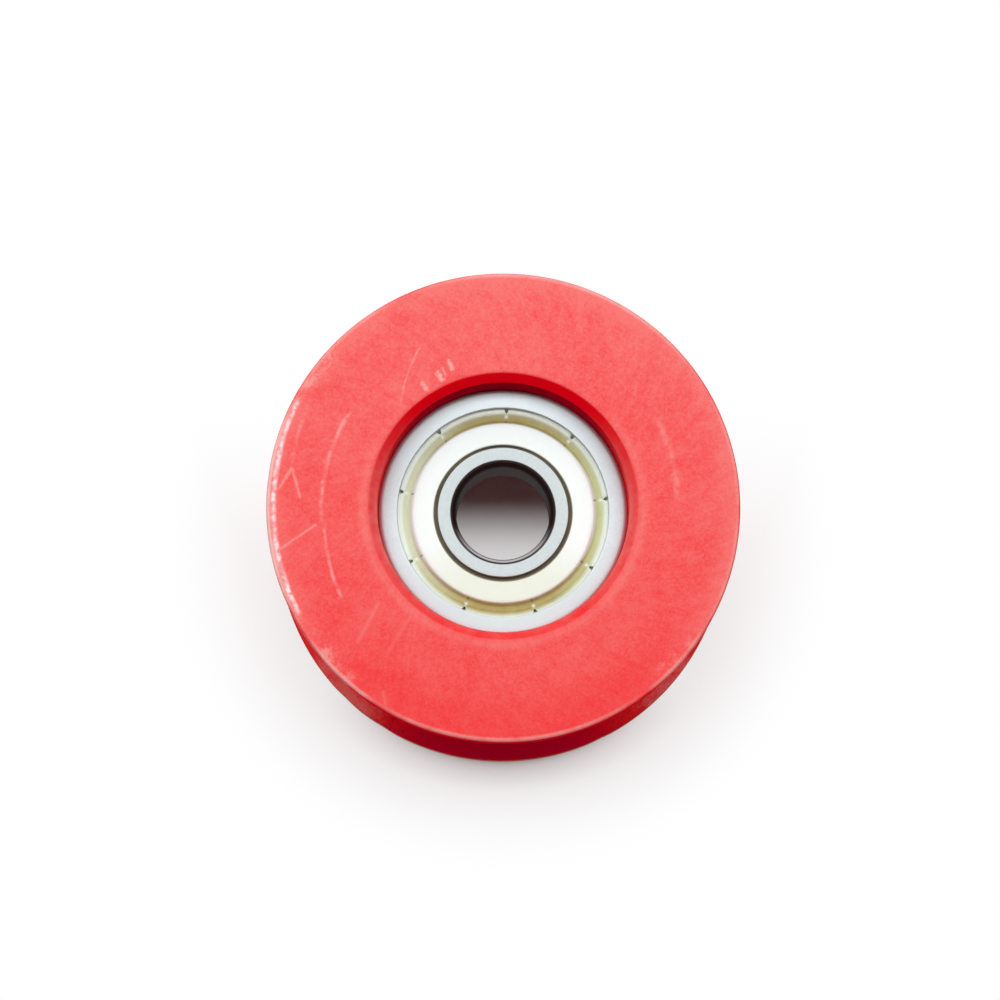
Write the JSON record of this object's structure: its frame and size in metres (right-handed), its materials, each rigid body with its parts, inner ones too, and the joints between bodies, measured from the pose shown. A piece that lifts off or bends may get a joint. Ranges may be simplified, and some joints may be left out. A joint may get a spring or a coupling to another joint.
{
  "type": "bicycle chain tensioner pulley",
  "caption": "Grooved plastic pulley wheel on a shielded ball bearing pressed into its recess; guides and tensions a drive chain while turning freely on an axle bolt.",
  "frame": {"origin": "on the axis of rotation, half way between the wheel's two outer faces", "axes": "+Z along the axis of rotation, out of the face with the bearing recess; the pulley lies on its other face"},
  "size_m": [0.045, 0.045, 0.022],
  "materials": {
    "red_plastic": "moulded, lightly scuffed",
    "ring_steel": "fine ground",
    "shield_steel": "pressed sheet with a pale yellow cast",
    "cage_steel": "pressed sheet",
    "ball_steel": "polished"
  },
  "bodies": {
    "inner_race": {"bearing_inner_ring": "ring_steel"},
    "wheel": {"pulley_wheel": "red_plastic", "bearing_outer_ring": "ring_steel", "shield_upper": "shield_steel", "shield_lower": "shield_steel"},
    "cage": {"cage_upper_half": "cage_steel", "cage_lower_half": "cage_steel", "cage_rivets": "cage_steel"},
    "ball_1": {"ball_1": "ball_steel"},
    "ball_2": {"ball_2": "ball_steel"},
    "ball_3": {"ball_3": "ball_steel"},
    "ball_4": {"ball_4": "ball_steel"},
    "ball_5": {"ball_5": "ball_steel"},
    "ball_6": {"ball_6": "ball_steel"},
    "ball_7": {"ball_7": "ball_steel"}
  },
  "joints": [
    {"name": "wheel_spin", "type": "hinge", "parent": "inner_race", "child": "wheel", "pos_m": [0, 0, 0.0032], "axis": [0, 0, 1], "continuous": true},
    {"name": "cage_spin", "type": "hinge", "parent": "inner_race", "child": "cage", "pos_m": [0, 0, 0.0032], "axis": [0, 0, 1], "continuous": true},
    {"name": "ball_1_roll", "type": "hinge", "parent": "cage", "child": "ball_1", "pos_m": [0.00825, 0, 0.0032], "axis": [0, 0, 1], "continuous": true},
    {"name": "ball_2_roll", "type": "hinge", "parent": "cage", "child": "ball_2", "pos_m": [0.00514, 0.00645, 0.0032], "axis": [0, 0, 1], "continuous": true},
    {"name": "ball_3_roll", "type": "hinge", "parent": "cage", "child": "ball_3", "pos_m": [-0.00184, 0.00804, 0.0032], "axis": [0, 0, 1], "continuous": true},
    {"name": "ball_4_roll", "type": "hinge", "parent": "cage", "child": "ball_4", "pos_m": [-0.00743, 0.00358, 0.0032], "axis": [0, 0, 1], "continuous": true},
    {"name": "ball_5_roll", "type": "hinge", "parent": "cage", "child": "ball_5", "pos_m": [-0.00743, -0.00358, 0.0032], "axis": [0, 0, 1], "continuous": true},
    {"name": "ball_6_roll", "type": "hinge", "parent": "cage", "child": "ball_6", "pos_m": [-0.00184, -0.00804, 0.0032], "axis": [0, 0, 1], "continuous": true},
    {"name": "ball_7_roll", "type": "hinge", "parent": "cage", "child": "ball_7", "pos_m": [0.00514, -0.00645, 0.0032], "axis": [0, 0, 1], "continuous": true}
  ],
  "couplings": [
    {"joint": "cage_spin", "follows": "wheel_spin", "ratio": 0.62024},
    {"joint": "ball_1_roll", "follows": "wheel_spin", "ratio": 1.9589},
    {"joint": "ball_2_roll", "follows": "wheel_spin", "ratio": 1.9589},
    {"joint": "ball_3_roll", "follows": "wheel_spin", "ratio": 1.9589},
    {"joint": "ball_4_roll", "follows": "wheel_spin", "ratio": 1.9589},
    {"joint": "ball_5_roll", "follows": "wheel_spin", "ratio": 1.9589},
    {"joint": "ball_6_roll", "follows": "wheel_spin", "ratio": 1.9589},
    {"joint": "ball_7_roll", "follows": "wheel_spin", "ratio": 1.9589}
  ]
}
